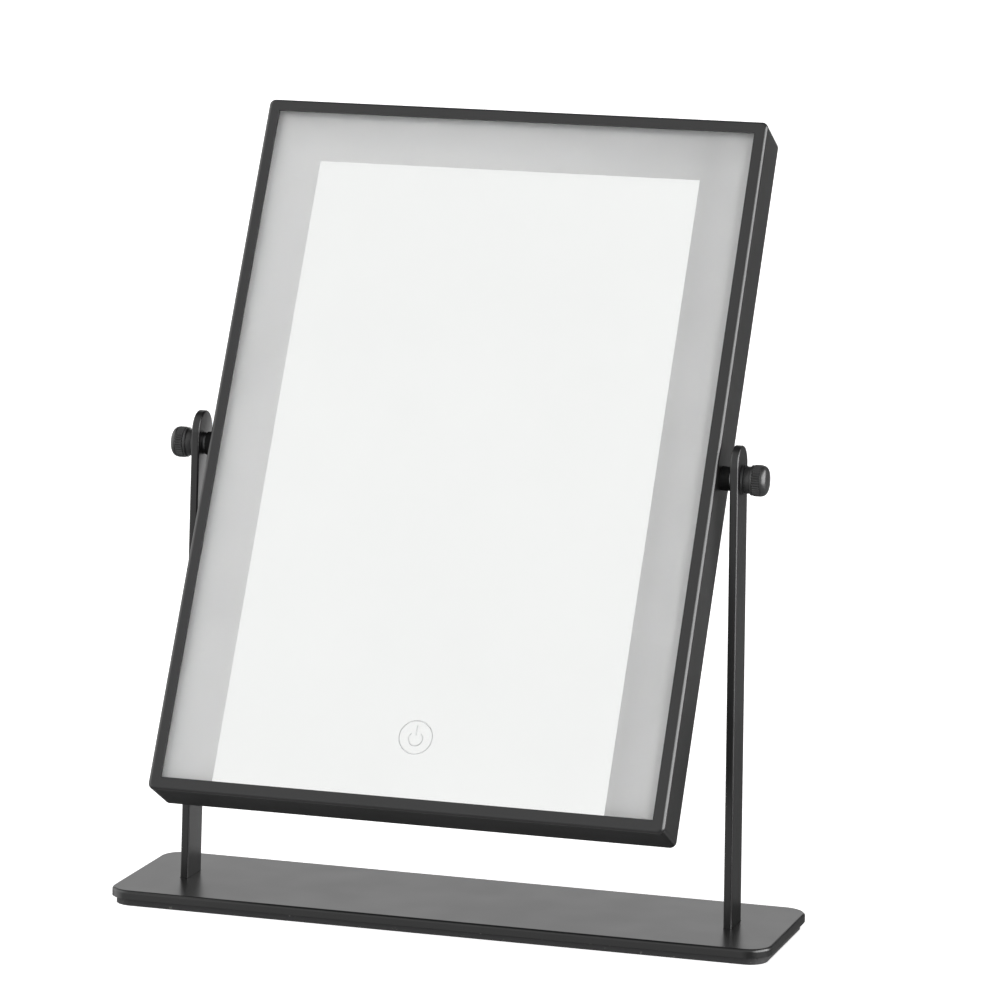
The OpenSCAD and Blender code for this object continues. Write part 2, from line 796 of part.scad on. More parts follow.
module knob(side) {
    knurl_z = outer_x + ring_at + ring_w;
    color(black) on_axis(side) difference() {
        rotate_extrude() knob_outline();
        translate([0, 0, knob_x - eps]) cylinder(d = stud_d + 2 * eps, h = stud_in + eps);
        for (i = [0 : knurl_count - 1]) rotate([0, 0, i * 360 / knurl_count])
            translate([knurl_d / 2, 0, knurl_z]) rotate([0, 0, 45])
                linear_extrude(height = outer_x + knurl_end - knurl_z)
                    square(knurl_h * sqrt(2), center = true);
    }
}
module knob_left() { knob(-1); }
module knob_right() { knob(1); }

module stud(side) {
    color(steel) on_axis(side) translate([0, 0, nut_x - stud_past])
        cylinder(r = stud_r, h = knob_x + stud_in - eps - nut_x + stud_past);
}
module stud_left() { stud(-1); }
module stud_right() { stud(1); }

base_plate();
base_pad();
post_left();
post_right();
foot_screws();
bezel_frame();
mirror_glass();
mirror_silvering();
light_diffuser();
chassis_pan();
nut_plate_left();
nut_plate_right();
led_strip_left();
led_strip_top();
led_strip_right();
led_chips();
touch_sensor();
control_board();
board_parts();
board_spacers();
board_screws();
power_inlet();
inlet_nut();
inlet_lead();
led_lead();
strip_links();
touch_lead();
cover_standoffs();
back_cover();
cover_screws();
spacer_left();
spacer_right();
pivot_washer_left();
pivot_washer_right();
collar_left();
collar_right();
knob_left();
knob_right();
stud_left();
stud_right();
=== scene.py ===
"""Countertop mirror with a frosted light band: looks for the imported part.
Metres, +Z up, the glass faces -Y."""
import math
import bmesh
import bpy
from mathutils import Matrix, Vector


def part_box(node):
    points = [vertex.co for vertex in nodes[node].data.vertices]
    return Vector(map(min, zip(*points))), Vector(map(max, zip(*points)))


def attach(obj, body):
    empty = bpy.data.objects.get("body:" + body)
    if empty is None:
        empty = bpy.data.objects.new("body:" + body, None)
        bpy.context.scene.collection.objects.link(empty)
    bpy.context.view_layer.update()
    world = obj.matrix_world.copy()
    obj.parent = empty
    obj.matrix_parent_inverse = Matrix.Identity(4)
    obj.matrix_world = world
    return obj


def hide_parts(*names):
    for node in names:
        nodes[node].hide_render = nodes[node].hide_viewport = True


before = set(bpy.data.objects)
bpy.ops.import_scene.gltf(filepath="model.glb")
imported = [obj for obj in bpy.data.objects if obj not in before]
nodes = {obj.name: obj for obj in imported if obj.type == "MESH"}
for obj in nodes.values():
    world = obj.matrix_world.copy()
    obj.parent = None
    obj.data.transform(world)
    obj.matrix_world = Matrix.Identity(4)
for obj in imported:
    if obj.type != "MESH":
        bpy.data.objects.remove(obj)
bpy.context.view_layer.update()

# ---------------------------------------------------------------- camera
# A long lens 2.4 m away, from a little above and to the right of the middle.
azimuth, elevation, roll = math.radians(16.544), math.radians(9.371), math.radians(1.238)
distance, aim = 2.3575, Vector((0.0172, 0.0, 0.2029))
back = Vector((math.sin(azimuth) * math.cos(elevation), -math.cos(azimuth) * math.cos(elevation),
               math.sin(elevation)))
camera_data = bpy.data.cameras.new("camera")
camera_data.lens = 179.64
camera_data.sensor_width = 36.0
camera_data.clip_end = 50.0
camera = bpy.data.objects.new("camera", camera_data)
camera.matrix_world = (Matrix.Translation(aim + distance * back)
                       @ back.to_track_quat("Z", "Y").to_matrix().to_4x4()
                       @ Matrix.Rotation(roll, 4, "Z"))
bpy.context.collection.objects.link(camera)
bpy.context.scene.camera = camera
bpy.context.scene.view_settings.view_transform = "Standard"

# ---------------------------------------------------------------- studio
# A white table that glows evenly, in a grey room with a white sheet up in front, bright walls behind and at
# the left, and darker parts in front and overhead. A broad soft box at the right and a dark card behind the
# right post show only in reflections.
floor_half = 12.0
floor_mesh = bpy.data.meshes.new("floor")
floor_mesh.from_pydata([(-floor_half, -floor_half, 0), (floor_half, -floor_half, 0),
                        (floor_half, floor_half, 0), (-floor_half, floor_half, 0)], [], [(0, 1, 2, 3)])
floor = bpy.data.objects.new("floor", floor_mesh)
bpy.context.collection.objects.link(floor)
table_white = bpy.data.materials.new("table_white")
table_white.use_nodes = True
table_bsdf = table_white.node_tree.nodes["Principled BSDF"]
table_bsdf.inputs["Base Color"].default_value = (0.9, 0.9, 0.9, 1)
table_bsdf.inputs["Roughness"].default_value = 0.9
table_bsdf.inputs["Emission Color"].default_value = (1, 1, 1, 1)
table_bsdf.inputs["Emission Strength"].default_value = 0.8
floor_mesh.materials.append(table_white)
floor.visible_glossy = False

room_grey = 0.30
# direction to the middle of each patch, inner and outer half angle in degrees, brightness added to the room
room_patches = [((-0.28, -0.68, 0.68), 34, 58, 0.685), ((0.28, -0.95, 0.08), 12, 28, -0.25),
                ((0.30, 0.94, -0.17), 12, 34, 1.2), ((-0.26, 0.96, 0.12), 14, 34, 0.68),
                ((-0.35, -0.92, -0.16), 12, 30, 0.45), ((-0.1, 0.35, 0.93), 20, 40, -0.24),
                ((-0.95, -0.1, 0.25), 25, 50, 1.7)]
room = bpy.data.worlds.new("room")
room.use_nodes = True
room_tree = room.node_tree
room_light = room_tree.nodes["Background"]
way = room_tree.nodes.new("ShaderNodeTexCoord")
total = None
for direction, inner, outer, gain in room_patches:
    along = room_tree.nodes.new("ShaderNodeVectorMath")
    along.operation = "DOT_PRODUCT"
    along.inputs[1].default_value = Vector(direction).normalized()
    room_tree.links.new(way.outputs["Generated"], along.inputs[0])
    edge = room_tree.nodes.new("ShaderNodeMapRange")
    edge.interpolation_type = "SMOOTHSTEP"
    edge.inputs["From Min"].default_value = math.cos(math.radians(outer))
    edge.inputs["From Max"].default_value = math.cos(math.radians(inner))
    edge.inputs["To Max"].default_value = gain
    room_tree.links.new(along.outputs["Value"], edge.inputs["Value"])
    plus = room_tree.nodes.new("ShaderNodeMath")
    plus.operation = "ADD"
    room_tree.links.new(edge.outputs["Result"], plus.inputs[0])
    plus.inputs[1].default_value = room_grey
    if total:
        room_tree.links.new(total, plus.inputs[1])
    total = plus.outputs["Value"]
room_tree.links.new(total, room_light.inputs["Strength"])
room_light.inputs["Color"].default_value = (1, 1, 1, 1)
bpy.context.scene.world = room


def soft_box(name, place, target, width, height, power):
    """A rectangular soft light at a place, turned to a target, that lights reflections only."""
    data = bpy.data.lights.new(name, "AREA")
    data.shape = "RECTANGLE"
    data.size, data.size_y, data.energy = width, height, power
    lamp = bpy.data.objects.new(name, data)
    lamp.location = place
    lamp.rotation_euler = (Vector(target) - Vector(place)).to_track_quat("-Z", "Y").to_euler()
    lamp.visible_camera = False
    lamp.visible_diffuse = False
    bpy.context.collection.objects.link(lamp)


soft_box("right_box", (1.3, -0.2, 0.68), (0, -0.2, 0.68), 2.2, 1.45, 84)

# the card is an L: its low part starts in the middle, its tall part further right
card_y, card_left, card_tall_left, card_right = 0.5, 0.0, 0.16, 0.95
card_low, card_step, card_high = -0.3, 0.0, 0.6
card_mesh = bpy.data.meshes.new("dark_card")
card_mesh.from_pydata([(card_left, card_y, card_low), (card_right, card_y, card_low),
                       (card_right, card_y, card_high), (card_tall_left, card_y, card_high),
                       (card_tall_left, card_y, card_step), (card_left, card_y, card_step)],
                      [], [(0, 1, 2, 3, 4, 5)])
card = bpy.data.objects.new("dark_card", card_mesh)
bpy.context.collection.objects.link(card)
card_grey = bpy.data.materials.new("card_grey")
card_grey.use_nodes = True
card_bsdf = card_grey.node_tree.nodes["Principled BSDF"]
card_bsdf.inputs["Base Color"].default_value = (0.02, 0.02, 0.02, 1)
card_bsdf.inputs["Roughness"].default_value = 1.0
card_bsdf.inputs["Emission Color"].default_value = (1, 1, 1, 1)
card_place = card_grey.node_tree.nodes.new("ShaderNodeTexCoord")
card_height = card_grey.node_tree.nodes.new("ShaderNodeSeparateXYZ")
card_fade = card_grey.node_tree.nodes.new("ShaderNodeMapRange")
for socket, value in (("From Min", 0.06), ("From Max", 0.25), ("To Min", 0.13), ("To Max", 0.035)):
    card_fade.inputs[socket].default_value = value
card_grey.node_tree.links.new(card_place.outputs["Object"], card_height.inputs["Vector"])
card_grey.node_tree.links.new(card_height.outputs["Z"], card_fade.inputs["Value"])
card_grey.node_tree.links.new(card_fade.outputs["Result"], card_bsdf.inputs["Emission Strength"])
card_mesh.materials.append(card_grey)
card.visible_camera = False
card.visible_diffuse = False
card.visible_shadow = False


# ---------------------------------------------------------------- base plate
# A steel plate with rounded corners and an eased top edge, powder coated satin black.
# The posts come up through two slots in it.
class Finish:
    """One procedural finish: a Principled shader and the nodes that vary it over the piece."""

    def __init__(self, name, **constants):
        self.mat = bpy.data.materials.new(name)
        self.mat.use_nodes = True
        self.tree = self.mat.node_tree
        self.bsdf = self.tree.nodes["Principled BSDF"]
        self.coords = self.tree.nodes.new("ShaderNodeTexCoord").outputs["Object"]
        self.height = None
        for socket, value in constants.items():
            self.bsdf.inputs[socket.replace("_", " ")].default_value = value

    def turned(self, location, rotation):
        """Lays the patterns that follow in a turned frame."""
        node = self.tree.nodes.new("ShaderNodeMapping")
        node.inputs["Location"].default_value = location
        node.inputs["Rotation"].default_value = rotation
        self.tree.links.new(self.coords, node.inputs["Vector"])
        self.coords = node.outputs["Vector"]

    def grain(self, scale, detail=3.0, stretch=None):
        """Noise of a given fineness per metre."""
        node = self.tree.nodes.new("ShaderNodeTexNoise")
        node.inputs["Scale"].default_value = scale
        node.inputs["Detail"].default_value = detail
        vector = self.coords
        if stretch:
            slide = self.tree.nodes.new("ShaderNodeVectorMath")
            slide.operation = "MULTIPLY"
            slide.inputs[1].default_value = stretch
            self.tree.links.new(vector, slide.inputs[0])
            vector = slide.outputs["Vector"]
        self.tree.links.new(vector, node.inputs["Vector"])
        return node.outputs["Fac"]

    def spread(self, source, low, high, start=0.3, end=0.7):
        """Stretches a pattern between two values."""
        node = self.tree.nodes.new("ShaderNodeMapRange")
        for socket, value in (("From Min", start), ("From Max", end), ("To Min", low), ("To Max", high)):
            node.inputs[socket].default_value = value
        self.tree.links.new(source, node.inputs["Value"])
        return node.outputs["Result"]

    def tint(self, source, first, second, start=0.3, end=0.7):
        """Colours a pattern from first to second."""
        node = self.tree.nodes.new("ShaderNodeValToRGB")
        for element, position, shade in zip(node.color_ramp.elements, (start, end), (first, second)):
            element.position, element.color = position, (*shade, 1)
        self.tree.links.new(source, node.inputs["Fac"])
        return node.outputs["Color"]

    def mix(self, mask, under, over):
        """Lays one colour over another where the mask is 1."""
        node = self.tree.nodes.new("ShaderNodeMix")
        node.data_type = "RGBA"
        for socket, value in ((node.inputs[0], mask), (node.inputs[6], under), (node.inputs[7], over)):
            if isinstance(value, tuple):
                socket.default_value = (*value, 1)
            else:
                self.tree.links.new(value, socket)
        return node.outputs[2]

    def sets(self, socket, source):
        """Joins a pattern to a socket of the shader."""
        self.tree.links.new(source, self.bsdf.inputs[socket])

    def raises(self, source, depth):
        """Adds relief of a given depth in metres over what is there."""
        node = self.tree.nodes.new("ShaderNodeBump")
        node.inputs["Strength"].default_value = 1.0
        node.inputs["Distance"].default_value = depth
        self.tree.links.new(source, node.inputs["Height"])
        if self.height:
            self.tree.links.new(self.height, node.inputs["Normal"])
        self.height = node.outputs["Normal"]
        self.tree.links.new(self.height, self.bsdf.inputs["Normal"])


def coats(mat, *names):
    """Gives carried-over CAD nodes their finish."""
    for name in names:
        nodes[name].data.materials.clear()
        nodes[name].data.materials.append(mat)


def powder_coat(name, shade, roughness, peel=5e-6):
    """Satin black powder coat: orange peel, fine grit, and slow drifts in shade and gloss."""
    gloss_drift, grit_depth = 0.015, 4e-7
    f = Finish(name)
    drift, skin, grit = f.grain(16, 2), f.grain(520, 1), f.grain(2600, 1)
    f.sets("Base Color", f.tint(drift, (shade * 0.86,) * 3, (shade * 1.1, shade * 1.1, shade * 1.13)))
    f.sets("Roughness", f.spread(f.grain(40, 1), roughness - gloss_drift, roughness + gloss_drift))
    f.raises(skin, peel)
    f.raises(grit, grit_depth)
    return f.mat


coats(powder_coat("base_powder_coat", 0.010, 0.30, 3e-6), "base_plate")

# ---------------------------------------------------------------- base pad
# A moulded black rubber pad glued under the plate, set in from its edge.
# Its skin is matt, with mould dust in places.
rubber = Finish("pad_rubber", Roughness=0.72)
dust = rubber.spread(rubber.grain(420, 6), 0, 1, 0.66, 0.74)
rubber.sets("Base Color", rubber.mix(dust, (0.017, 0.017, 0.018), (0.075, 0.072, 0.068)))
rubber.raises(rubber.grain(1500, 4), 3e-5)
rubber.raises(rubber.grain(160, 2), 4e-5)
coats(rubber.mat, "base_pad")

# ---------------------------------------------------------------- posts
# Two flat steel bars with a round top end, coated like the plate.
# Each foot is turned in under the plate and held there by two screws.
coats(powder_coat("post_powder_coat", 0.011, 0.30), "post_left", "post_right")

# ---------------------------------------------------------------- foot screws
# Countersunk zinc-plated steel screws with a hexagon socket.
# Two in each foot are driven up into the plate.
foot_low, foot_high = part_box("foot_screws")
foot_head_r, foot_shank_r, foot_head_h = 0.0037, 0.00195, 0.002
foot_socket_r, foot_socket_h, foot_pitch = 0.0014, 0.0012, 0.014
foot_len = foot_high[2] - foot_low[2]
any_turn, no_turn = 6.2, 0.0


def turned_shape(name, profile, steps):
    """A solid of revolution about z from (radius, height) points that start and end on the axis."""
    bm = bmesh.new()
    rings = []
    for radius, height in profile:
        if radius < 1e-9:
            rings.append([bm.verts.new((0, 0, height))])
        else:
            rings.append([bm.verts.new((radius * math.cos(2 * math.pi * k / steps),
                                        radius * math.sin(2 * math.pi * k / steps), height))
                          for k in range(steps)])
    for lower, upper in zip(rings, rings[1:]):
        for k in range(steps):
            corners = [lower[k % len(lower)], lower[(k + 1) % len(lower)],
                       upper[(k + 1) % len(upper)], upper[k % len(upper)]]
            bm.faces.new(list(dict.fromkeys(corners)))
    bmesh.ops.recalc_face_normals(bm, faces=bm.faces)
    mesh = bpy.data.meshes.new(name)
    bm.to_mesh(mesh)
    bm.free()
    for polygon in mesh.polygons:
        polygon.use_smooth = True
    piece = bpy.data.objects.new(name, mesh)
    bpy.context.collection.objects.link(piece)
    return piece


def prism(name, outline, low, high):
    """A straight prism over a flat outline, from low to high."""
    bm = bmesh.new()
    under = [bm.verts.new((x, y, low)) for x, y in outline]
    over = [bm.verts.new((x, y, high)) for x, y in outline]
    bm.faces.new(under[::-1])
    bm.faces.new(over)
    for k in range(len(outline)):
        j = (k + 1) % len(outline)
        bm.faces.new([under[k], under[j], over[j], over[k]])
    bmesh.ops.recalc_face_normals(bm, faces=bm.faces)
    mesh = bpy.data.meshes.new(name)
    bm.to_mesh(mesh)
    bm.free()
    piece = bpy.data.objects.new(name, mesh)
    bpy.context.collection.objects.link(piece)
    return piece


def settled(piece):
    """Turns a piece with its modifiers into a plain mesh."""
    bpy.context.view_layer.update()
    evaluated = piece.evaluated_get(bpy.context.evaluated_depsgraph_get())
    mesh = bpy.data.meshes.new_from_object(evaluated)
    piece.modifiers.clear()
    piece.data = mesh


def dropped(*pieces):
    """Removes helper shapes that aren't part of the object."""
    for piece in pieces:
        bpy.data.objects.remove(piece, do_unlink=True)


def cut_out(piece, *cutters):
    """Cuts shapes out of a piece and removes the cutters."""
    for cutter in cutters:
        cut = piece.modifiers.new("cut", "BOOLEAN")
        cut.operation, cut.object, cut.solver = "DIFFERENCE", cutter, "EXACT"
    settled(piece)
    dropped(*cutters)


def set_out(name, unit, mat, spots, random_turn, frame_matrix, body, *replaced):
    """Sets a unit shape at a row of spots with a Geometry Nodes tree, as one plain mesh on a body."""
    mesh = bpy.data.meshes.new(name)
    mesh.from_pydata([tuple(spot) for spot in spots], [], [])
    piece = bpy.data.objects.new(name, mesh)
    bpy.context.collection.objects.link(piece)
    tree = bpy.data.node_groups.new(name + "_layout", "GeometryNodeTree")
    tree.interface.new_socket("Geometry", in_out="INPUT", socket_type="NodeSocketGeometry")
    unit_socket = tree.interface.new_socket("Unit", in_out="INPUT", socket_type="NodeSocketObject")
    size_socket = tree.interface.new_socket("Size", in_out="INPUT", socket_type="NodeSocketFloat")
    spin_socket = tree.interface.new_socket("Random turn", in_out="INPUT", socket_type="NodeSocketFloat")
    tree.interface.new_socket("Geometry", in_out="OUTPUT", socket_type="NodeSocketGeometry")
    start, end = tree.nodes.new("NodeGroupInput"), tree.nodes.new("NodeGroupOutput")
    points = tree.nodes.new("GeometryNodeMeshToPoints")
    shape = tree.nodes.new("GeometryNodeObjectInfo")
    turn = tree.nodes.new("FunctionNodeRandomValue")
    turn.data_type = "FLOAT"
    turn.inputs["Seed"].default_value = 7
    around = tree.nodes.new("ShaderNodeCombineXYZ")
    place = tree.nodes.new("GeometryNodeInstanceOnPoints")
    real = tree.nodes.new("GeometryNodeRealizeInstances")
    paint = tree.nodes.new("GeometryNodeSetMaterial")
    paint.inputs["Material"].default_value = mat
    link = tree.links.new
    link(start.outputs["Geometry"], points.inputs["Mesh"])
    link(start.outputs["Unit"], shape.inputs["Object"])
    link(start.outputs["Random turn"], turn.inputs[3])
    link(turn.outputs[1], around.inputs["Z"])
    link(points.outputs["Points"], place.inputs["Points"])
    link(shape.outputs["Geometry"], place.inputs["Instance"])
    link(around.outputs["Vector"], place.inputs["Rotation"])
    link(start.outputs["Size"], place.inputs["Scale"])
    link(place.outputs["Instances"], real.inputs["Geometry"])
    link(real.outputs["Geometry"], paint.inputs["Geometry"])
    link(paint.outputs["Geometry"], end.inputs["Geometry"])
    layout = piece.modifiers.new("layout", "NODES")
    layout.node_group = tree
    layout[unit_socket.identifier] = unit
    layout[size_socket.identifier] = 1.0
    layout[spin_socket.identifier] = random_turn
    settled(piece)
    piece.data.transform(frame_matrix)
    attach(piece, body)
    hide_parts(*replaced)


def plating(name, shade, roughness, ring_axis=None):
    """Zinc plating with fine turning marks along an axis, or a plain tumbled surface."""
    gloss_drift = 0.07
    f = Finish(name, Metallic=1.0)
    dull = (shade * 0.85, shade * 0.86, shade * 0.88)
    f.sets("Base Color", f.tint(f.grain(240, 4), dull, (shade, shade, shade)))
    f.sets("Roughness", f.spread(f.grain(900, 4), roughness - gloss_drift, roughness + gloss_drift))
    if ring_axis:
        f.raises(f.grain(700, 2, ring_axis), 8e-6)
    f.raises(f.grain(2600, 3), 4e-6)
    return f.mat


zinc = plating("bright_zinc", 0.62, 0.32)
socket_outline = [(foot_socket_r * math.cos(math.radians(60 * k)),
                   foot_socket_r * math.sin(math.radians(60 * k))) for k in range(6)]
foot_screw = turned_shape("foot_screw", [
    (0, 0), (foot_head_r - 0.00015, 0), (foot_head_r, 0.0001), (foot_head_r, 0.00025),
    (foot_shank_r + 0.0001, foot_head_h), (foot_shank_r, foot_head_h + 0.0002),
    (foot_shank_r, foot_len - 0.0005), (foot_shank_r - 0.0005, foot_len), (0, foot_len)], 32)
cut_out(foot_screw, prism("foot_socket", socket_outline, -0.001, foot_socket_h))
foot_x = [foot_low[0] + foot_head_r, foot_high[0] - foot_head_r]
foot_spots = [(x, 0, 0) for x in (foot_x[0], foot_x[0] + foot_pitch, foot_x[1] - foot_pitch, foot_x[1])]
set_out("foot_screw_set", foot_screw, zinc, foot_spots, any_turn, Matrix.Translation((0, 0, foot_low[2])),
        "stand", "foot_screws")
dropped(foot_screw)

# ---------------------------------------------------------------- bezel frame
# Thin aluminium sheet folded to a shallow frame and coated black.
# A narrow lip holds the glass from the front, and plain side walls run back to the cover.
head_coat = powder_coat("bezel_powder_coat", 0.014, 0.31)
coats(head_coat, "bezel_frame")

# ---------------------------------------------------------------- mirror glass
# Clear float glass, 5 mm, laid behind the lip of the frame.
# It is silvered behind except for the band, which is sandblasted.
tilt, pivot_z, pivot_n = math.radians(27.4), 0.2205, 0.012
# the head's flat drawing: x across, y up, -z into the depth, carried to its lean on the tilt axis
head_frame = (Matrix.Translation((0, 0, pivot_z)) @ Matrix.Rotation(-tilt, 4, "X")
              @ Matrix.Translation((0, -pivot_n, 0)) @ Matrix.Rotation(math.pi / 2, 4, "X"))
to_flat = head_frame.inverted()
flat_place, flat_turn = to_flat.to_translation(), to_flat.to_euler()

glass = Finish("float_glass", Transmission_Weight=1.0, IOR=1.5)
glass.sets("Base Color", glass.tint(glass.grain(9, 2), (0.984, 0.987, 0.984), (0.988, 0.991, 0.988)))
glass.sets("Roughness", glass.spread(glass.grain(35, 5), 0.0, 0.006))
coats(glass.mat, "mirror_glass")

silver = Finish("silver_layer", Metallic=1.0)
silver.sets("Base Color", silver.tint(silver.grain(14, 3), (0.93, 0.935, 0.93), (0.945, 0.95, 0.945)))
silver.sets("Roughness", silver.spread(silver.grain(300, 4), 0.008, 0.02))
coats(silver.mat, "mirror_silvering")

# ---------------------------------------------------------------- frosted band
# The sandblasted back of the glass along the left, top and right edges.
# The silver layer is left off there, so that the light comes through.
glass_half_w, glass_half_h, silver_half_w, silver_high = 0.1234, 0.1734, 0.095, 0.145
frost_front, frost_back = 0.005806, 0.005816
band_outline = [(-glass_half_w, -glass_half_h), (-silver_half_w, -glass_half_h),
                (-silver_half_w, silver_high), (silver_half_w, silver_high),
                (silver_half_w, -glass_half_h), (glass_half_w, -glass_half_h),
                (glass_half_w, glass_half_h), (-glass_half_w, glass_half_h)]
frosted_band = prism("frosted_band", band_outline, -frost_back, -frost_front)
frosted_band.data.transform(head_frame)
frost = Finish("sandblasted_glass", Roughness=0.85, IOR=1.4)
frost.turned(flat_place, flat_turn)
frost_place = frost.tree.nodes.new("ShaderNodeSeparateXYZ")
frost.tree.links.new(frost.coords, frost_place.inputs["Vector"])
# painted light and shade: the band's colour is darker just under the frame's top edge and changes from side
# to side, darkest over the inner part of the right side and lighter at the outer edges, with a faint random
# cloud
top_shade_from, top_shade_to, top_shade_share, cloud_share = 0.150, 0.170, 0.16, 0.05
# painted light and shade from side to side across the band
across = frost.tree.nodes.new("ShaderNodeValToRGB")
across.color_ramp.elements[0].color = (0.73, 0.73, 0.73, 1)
across.color_ramp.elements[1].color = (0.91, 0.91, 0.91, 1)
for position, shade in ((0.5, 0.69), (0.85, 0.585), (0.9, 0.54), (0.95, 0.62), (0.98, 0.76)):
    across.color_ramp.elements.new(position).color = (shade, shade, shade, 1)
sideways = frost.spread(frost_place.outputs["X"], 0, 1, -glass_half_w, glass_half_w)
frost.tree.links.new(sideways, across.inputs["Fac"])
up = frost.spread(frost_place.outputs["Y"], 0, top_shade_share, top_shade_from, top_shade_to)
cloud = frost.spread(frost.grain(30, 5), 0, cloud_share)
shade_and_cloud = frost.tree.nodes.new("ShaderNodeMath")
shade_and_cloud.operation = "ADD"
frost.tree.links.new(up, shade_and_cloud.inputs[0])
frost.tree.links.new(cloud, shade_and_cloud.inputs[1])
# the mask takes the colour towards black: painted shade under the top edge, plus the faint random cloud
frost.sets("Base Color", frost.mix(shade_and_cloud.outputs["Value"], across.outputs["Color"], (0, 0, 0)))
frost.raises(frost.grain(4200, 3), 1e-5)
frosted_band.data.materials.append(frost.mat)
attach(frosted_band, "head")

# ---------------------------------------------------------------- light diffuser
# A U of opal acrylic sheet, 2 mm, behind the frosted band.
# It is held between the glass and the rim of the chassis.
opal = Finish("opal_acrylic", IOR=1.49)
opal.sets("Base Color", opal.tint(opal.grain(60, 3), (0.80, 0.80, 0.79), (0.86, 0.86, 0.85)))
opal.sets("Roughness", opal.spread(opal.grain(500, 3), 0.28, 0.4))
opal.raises(opal.grain(1200, 2), 6e-6)
coats(opal.mat, "light_diffuser")

# ---------------------------------------------------------------- chassis pan
# A tray of aluminium sheet, coated white inside so that it spreads the light.
# The zinc-plated nut plates for the pivots are fixed on its side walls.
pan_white = Finish("white_coated_sheet")
pan_white.sets("Base Color", pan_white.tint(pan_white.grain(50, 4), (0.74, 0.74, 0.73), (0.82, 0.82, 0.81)))
pan_white.sets("Roughness", pan_white.spread(pan_white.grain(140, 4), 0.42, 0.56))
pan_white.raises(pan_white.grain(1100, 3), 1.5e-5)
coats(pan_white.mat, "chassis_pan")
coats(plating("nut_plate_zinc", 0.55, 0.4), "nut_plate_left", "nut_plate_right")

# ---------------------------------------------------------------- light strips
# Flexible strip boards under white solder mask, glued to the chassis floor along three sides.
# The LEDs are soldered on them.
strip_face = Finish("strip_solder_mask", Roughness=0.45)
strip_face.turned(flat_place, flat_turn)
tracks = strip_face.tree.nodes.new("ShaderNodeTexBrick")
for socket, value in (("Scale", 80.0), ("Mortar Size", 0.05), ("Brick Width", 1.0), ("Row Height", 0.32)):
    tracks.inputs[socket].default_value = value
strip_face.tree.links.new(strip_face.coords, tracks.inputs["Vector"])
strip_face.sets("Base Color", strip_face.tint(tracks.outputs["Fac"], (0.80, 0.79, 0.75), (0.55, 0.45, 0.28),
                                              0.3, 0.9))
strip_face.raises(strip_face.grain(900, 3), 1e-5)
coats(strip_face.mat, "led_strip_left", "led_strip_top", "led_strip_right")

led_half, led_h, led_pitch, led_side, led_top = 0.0014, 0.0007, 0.0125, 25, 15
strip_x, strip_top, corner_gap, led_back = 0.107, 0.157, 0.008, 0.0176
side_mid = strip_top - corner_gap - led_side * led_pitch / 2


def led_unit():
    """One LED package: a white box with a sunk round window of phosphor."""
    bm = bmesh.new()
    glow = bm.faces.layers.float.new("window")
    steps, window_r, sunk, bed_share = 24, 0.00115, 0.00012, 0.88
    window = [bm.verts.new((window_r * math.cos(2 * math.pi * k / steps),
                            window_r * math.sin(2 * math.pi * k / steps), led_h)) for k in range(steps)]
    bed = [bm.verts.new((v.co.x * bed_share, v.co.y * bed_share, led_h - sunk)) for v in window]
    rim = []
    for v in window:
        grow = led_half / max(abs(v.co.x), abs(v.co.y))
        rim.append(bm.verts.new((v.co.x * grow, v.co.y * grow, led_h)))
    foot = [bm.verts.new((v.co.x, v.co.y, 0)) for v in rim]
    phosphor = bm.faces.new(bed)
    for k in range(steps):
        j = (k + 1) % steps
        bm.faces.new([bed[k], window[k], window[j], bed[j]])
        bm.faces.new([window[k], rim[k], rim[j], window[j]])
        bm.faces.new([rim[k], foot[k], foot[j], rim[j]])
    bm.faces.new(foot[::-1])
    bmesh.ops.recalc_face_normals(bm, faces=bm.faces)
    phosphor[glow] = 1.0
    mesh = bpy.data.meshes.new("led_unit")
    bm.to_mesh(mesh)
    bm.free()
    piece = bpy.data.objects.new("led_unit", mesh)
    bpy.context.collection.objects.link(piece)
    return piece


led_face = Finish("led_package", Roughness=0.35)
window_mask = led_face.tree.nodes.new("ShaderNodeAttribute")
window_mask.attribute_name = "window"
package_white = led_face.tint(led_face.grain(800, 3), (0.74, 0.74, 0.72), (0.8, 0.8, 0.78))
led_face.sets("Base Color", led_face.mix(window_mask.outputs["Fac"], package_white, (0.80, 0.58, 0.10)))
led_face.raises(led_face.grain(3000, 2), 4e-6)
led_spots = [(side * strip_x, side_mid + (k + 0.5) * led_pitch - led_side * led_pitch / 2, 0)
             for side in (-1, 1) for k in range(led_side)]
led_spots += [((k + 0.5) * led_pitch - led_top * led_pitch / 2, strip_top, 0) for k in range(led_top)]
led = led_unit()
set_out("led_rows", led, led_face.mat, led_spots, no_turn, head_frame @ Matrix.Translation((0, 0, -led_back)),
        "head", "led_chips")
dropped(led)

# ---------------------------------------------------------------- touch sensor
# A thin disc of circuit board stuck to the glass behind the mark that is left open in the silver.
# Its face is printed pale grey, which is what the mark shows.
sensor_face = Finish("sensor_print", Roughness=0.5)
sensor_face.sets("Base Color", sensor_face.tint(sensor_face.grain(90, 3), (0.64, 0.64, 0.645),
                                                (0.70, 0.70, 0.705)))
sensor_face.raises(sensor_face.grain(1800, 3), 8e-6)
coats(sensor_face.mat, "touch_sensor")

